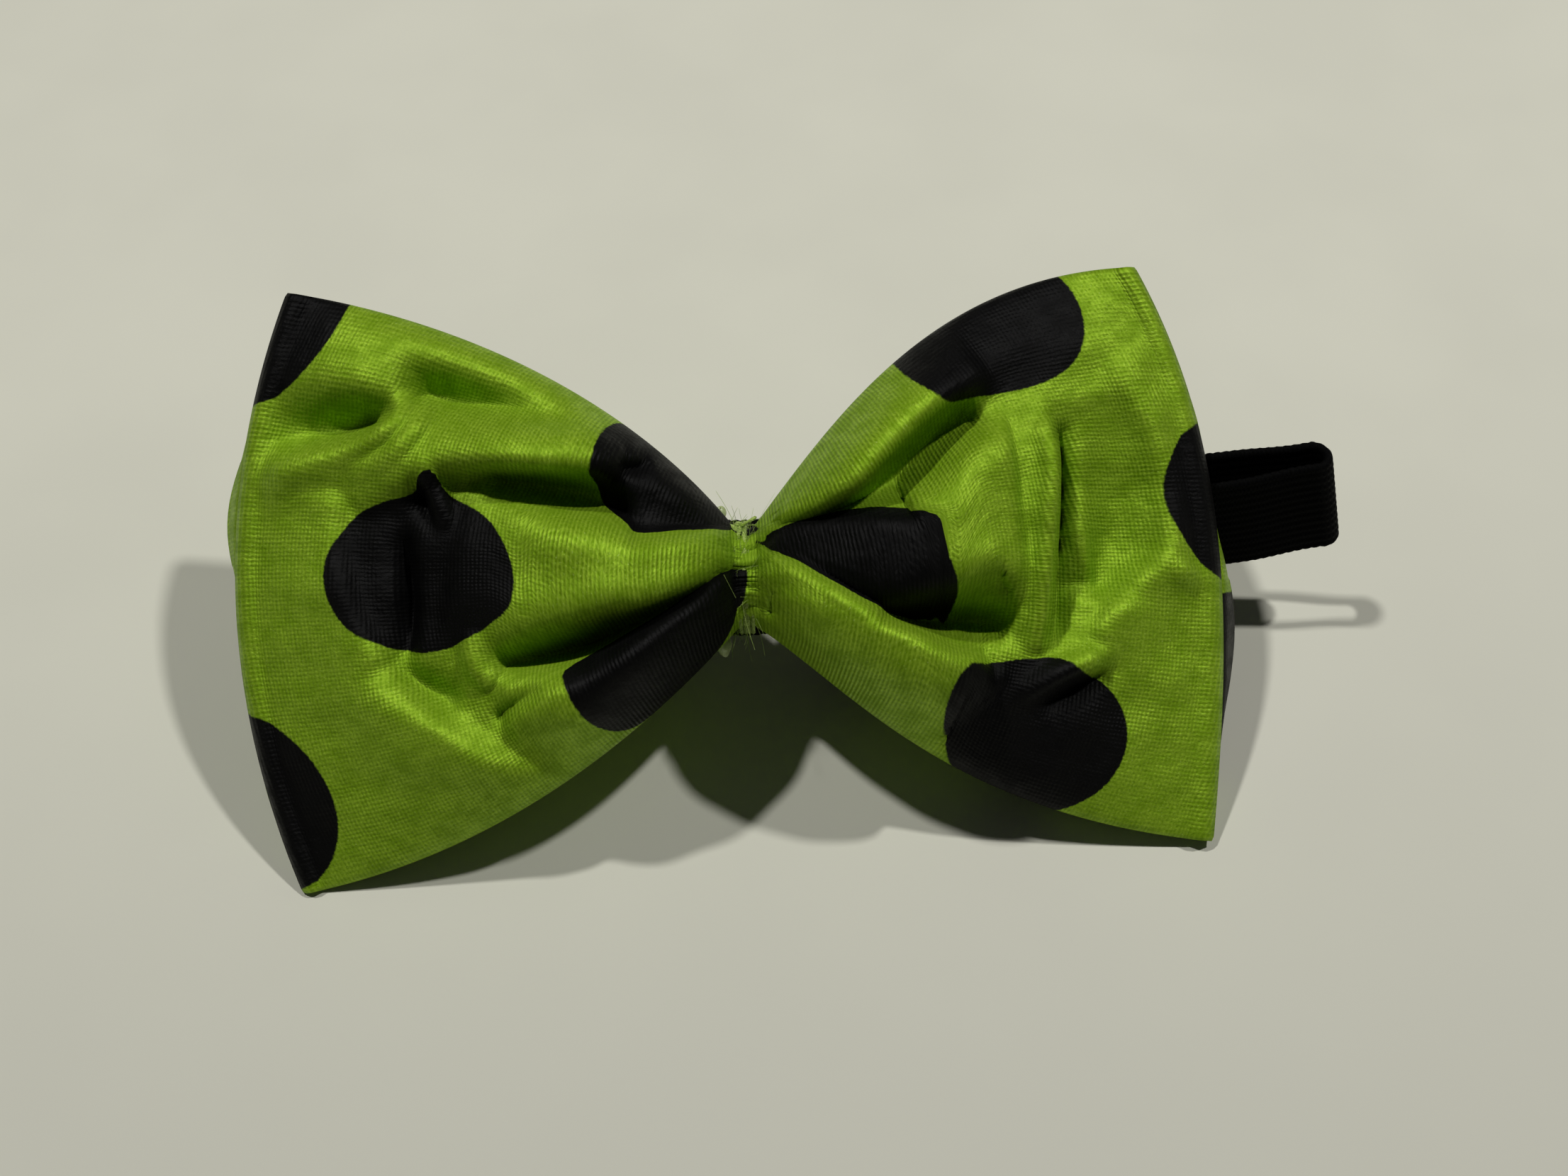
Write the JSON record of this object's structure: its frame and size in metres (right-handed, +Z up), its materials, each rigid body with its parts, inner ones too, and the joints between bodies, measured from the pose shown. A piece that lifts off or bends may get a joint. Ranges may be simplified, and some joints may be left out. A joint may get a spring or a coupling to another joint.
{
  "type": "hair bow",
  "caption": "Pinched fabric hair bow in green knit with black polka dots, bound at the middle with thread, on a stretchy black elastic loop.",
  "frame": {"origin": "on the table under the middle of the bow's box", "axes": "+X along the bow towards the end where the elastic loop shows, +Y away from the front, +Z up"},
  "size_m": [0.1222, 0.0516, 0.04],
  "materials": {
    "printed_knit": "soft satin knit, lime green with black dots",
    "sewing_thread": "matt spun thread",
    "binding_thread": "fuzzy spun thread",
    "hot_glue": "cloudy, translucent",
    "elastic": "ribbed knitted elastic",
    "black_thread": "matt spun thread"
  },
  "bodies": {
    "bow": {"bow_fabric": "printed_knit", "left_end_seam": "sewing_thread", "right_end_seam": "sewing_thread", "back_seam": "sewing_thread", "gather_thread": "binding_thread", "gather_knot": "binding_thread", "glue_bead_lower": "hot_glue", "glue_bead_upper": "hot_glue", "elastic_anchor": "elastic", "elastic_join_stitches": "black_thread"},
    "loop": {"elastic_near_run": "elastic", "elastic_far_run": "elastic"},
    "loop_end": {"elastic_tip": "elastic"}
  },
  "joints": [
    {"name": "loop_swing", "type": "hinge", "parent": "bow", "child": "loop", "pos_m": [0.00953, 0.00723, 0.0142], "axis": [0, 0, 1], "range_deg": [0, 120], "stiffness_Nm_per_rad": 0.001},
    {"name": "loop_stretch", "type": "slide", "parent": "loop", "child": "loop_end", "axis": [0.993, 0.118, 0], "range_m": [0, 0.045], "stiffness_N_per_m": 60, "deforming": ["elastic_near_run", "elastic_far_run"]}
  ]
}
